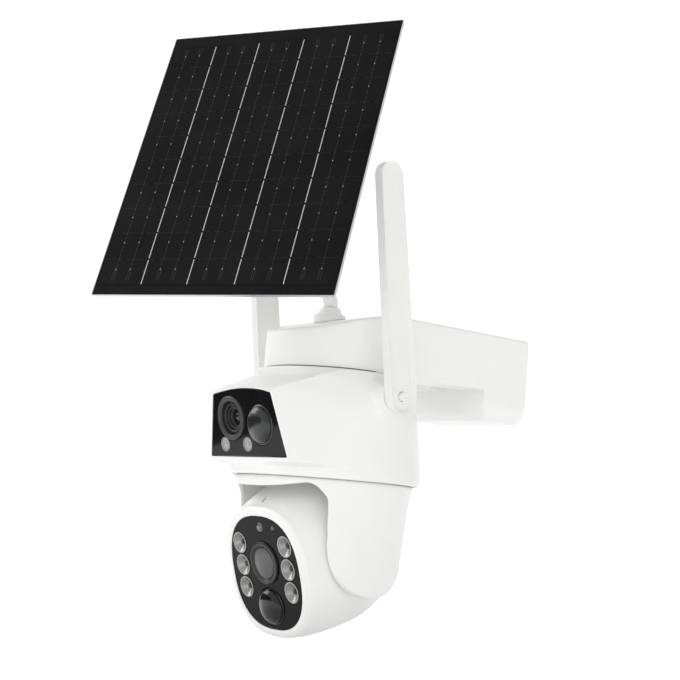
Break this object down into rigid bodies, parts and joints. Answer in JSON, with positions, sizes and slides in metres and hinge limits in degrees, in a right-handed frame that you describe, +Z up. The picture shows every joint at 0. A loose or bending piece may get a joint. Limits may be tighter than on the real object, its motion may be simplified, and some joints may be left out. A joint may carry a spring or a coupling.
{
  "type": "solar security camera",
  "caption": "Wall-mounted outdoor camera with a fixed wide lens drum, a pan and tilt head, two folding paddle antennas and a swivelling solar panel.",
  "frame": {"origin": "middle of the wall face, the back of the wall plate", "axes": "+Z up, +Y into the wall, the camera faces -Y, +X is the camera's own left"},
  "size_m": [0.1889, 0.3059, 0.4076],
  "materials": {
    "white_shell": "fine satin moulded ABS, UV-stable white",
    "white_paddle": "satin moulded white, slightly warmer",
    "grey_seal": "matte",
    "soft_rubber": "matte",
    "black_gloss": "polished black acrylic",
    "black_satin": "fine satin black",
    "dark_ring": "satin dark grey rings",
    "lens_glass": "coated optical glass",
    "pir_dome": "smoked translucent polyethylene",
    "reflector": "vacuum metallised cup",
    "screw_steel": "zinc plated",
    "motor_can": "drawn steel can",
    "gear_acetal": "natural acetal",
    "circuit_board": "green solder mask",
    "cell_wrap": "shrink sleeve",
    "inner_black": "moulded black",
    "panel_edge": "fine satin anodised",
    "solar_cells": "laminated black cells under a fine matt cover"
  },
  "bodies": {
    "camera_body": {"arm_housing": "white_shell", "wall_plate": "white_shell", "wall_screw_1": "screw_steel", "wall_screw_2": "screw_steel", "seam_gasket": "grey_seal", "drum_housing": "white_shell", "upper_window": "black_gloss", "wide_lens_bezel": "dark_ring", "wide_lens_barrel": "black_satin", "wide_lens_glass": "lens_glass", "upper_pir_lens": "pir_dome", "spot_led_1": "reflector", "spot_led_2": "reflector", "base_ring": "white_shell", "main_board": "circuit_board", "speaker": "inner_black", "battery_cell_1": "cell_wrap", "battery_cell_2": "cell_wrap", "battery_holder": "inner_black", "charge_socket": "soft_rubber", "pan_motor": "motor_can", "panel_base": "white_shell", "panel_stem": "white_shell"},
    "yoke": {"yoke_housing": "white_shell", "pan_ring_gear": "gear_acetal", "trunnion_right": "white_shell", "trunnion_left": "white_shell", "tilt_fixed_gear": "gear_acetal"},
    "pan_pinion": {"pan_pinion": "gear_acetal"},
    "head": {"head_front_shell": "white_shell", "head_rear_shell": "white_shell", "face_panel": "black_gloss", "main_lens_bezel": "dark_ring", "main_lens_barrel": "black_satin", "main_lens_glass": "lens_glass", "lower_pir_lens": "pir_dome", "light_sensor": "black_gloss", "status_led": "pir_dome", "face_board": "circuit_board", "microphone": "inner_black", "tilt_motor": "motor_can", "ir_led_1": "reflector", "ir_led_2": "reflector", "ir_led_3": "reflector", "ir_led_4": "reflector", "ir_led_5": "reflector", "ir_led_6": "reflector"},
    "tilt_pinion": {"tilt_pinion": "gear_acetal"},
    "antenna_right": {"antenna_right": "white_paddle", "antenna_pin_right": "white_shell"},
    "antenna_left": {"antenna_left": "white_paddle", "antenna_pin_left": "white_shell"},
    "panel_clevis": {"swivel_clevis": "white_shell"},
    "solar_panel": {"tilt_bolt": "inner_black", "hinge_plate": "white_shell", "panel_frame": "panel_edge", "panel_laminate": "solar_cells", "junction_box": "inner_black"},
    "power_button": {"power_button": "soft_rubber"},
    "port_cover": {"port_cover": "soft_rubber"}
  },
  "joints": [
    {"name": "pan", "type": "hinge", "parent": "camera_body", "child": "yoke", "pos_m": [0, -0.143, -0.085], "axis": [0, 0, 1], "range_deg": [-175, 175]},
    {"name": "pan_drive", "type": "hinge", "parent": "camera_body", "child": "pan_pinion", "pos_m": [0, -0.1053, -0.0669], "axis": [0, 0, 1], "range_deg": [-720, 720]},
    {"name": "tilt", "type": "hinge", "parent": "yoke", "child": "head", "pos_m": [0, -0.141, -0.125], "axis": [1, 0, 0], "range_deg": [-17, 72]},
    {"name": "tilt_drive", "type": "hinge", "parent": "head", "child": "tilt_pinion", "pos_m": [-0.0365, -0.1339, -0.14793], "axis": [1, 0, 0], "range_deg": [-45, 180]},
    {"name": "antenna_right_fold", "type": "hinge", "parent": "camera_body", "child": "antenna_right", "pos_m": [0.072, -0.1425, -0.029], "axis": [1, 0, 0], "range_deg": [-55, 4]},
    {"name": "antenna_left_fold", "type": "hinge", "parent": "camera_body", "child": "antenna_left", "pos_m": [-0.072, -0.1425, -0.029], "axis": [1, 0, 0], "range_deg": [-55, 4]},
    {"name": "panel_swivel", "type": "hinge", "parent": "camera_body", "child": "panel_clevis", "pos_m": [0, -0.2105, 0.109], "axis": [0, 0, 1], "range_deg": [-60, 8]},
    {"name": "panel_tilt", "type": "hinge", "parent": "panel_clevis", "child": "solar_panel", "pos_m": [0, -0.2105, 0.109], "axis": [0.8988, 0.4384, 0], "range_deg": [-50, 20]},
    {"name": "power_press", "type": "slide", "parent": "camera_body", "child": "power_button", "axis": [0, 0, 1], "range_m": [0, 0.0008], "stiffness_N_per_m": 300},
    {"name": "port_cover_pull", "type": "slide", "parent": "camera_body", "child": "port_cover", "axis": [0, 0, -1], "range_m": [0, 0.012]}
  ],
  "couplings": [
    {"joint": "pan_drive", "follows": "pan", "ratio": -4},
    {"joint": "tilt_drive", "follows": "tilt", "ratio": 2.4}
  ]
}
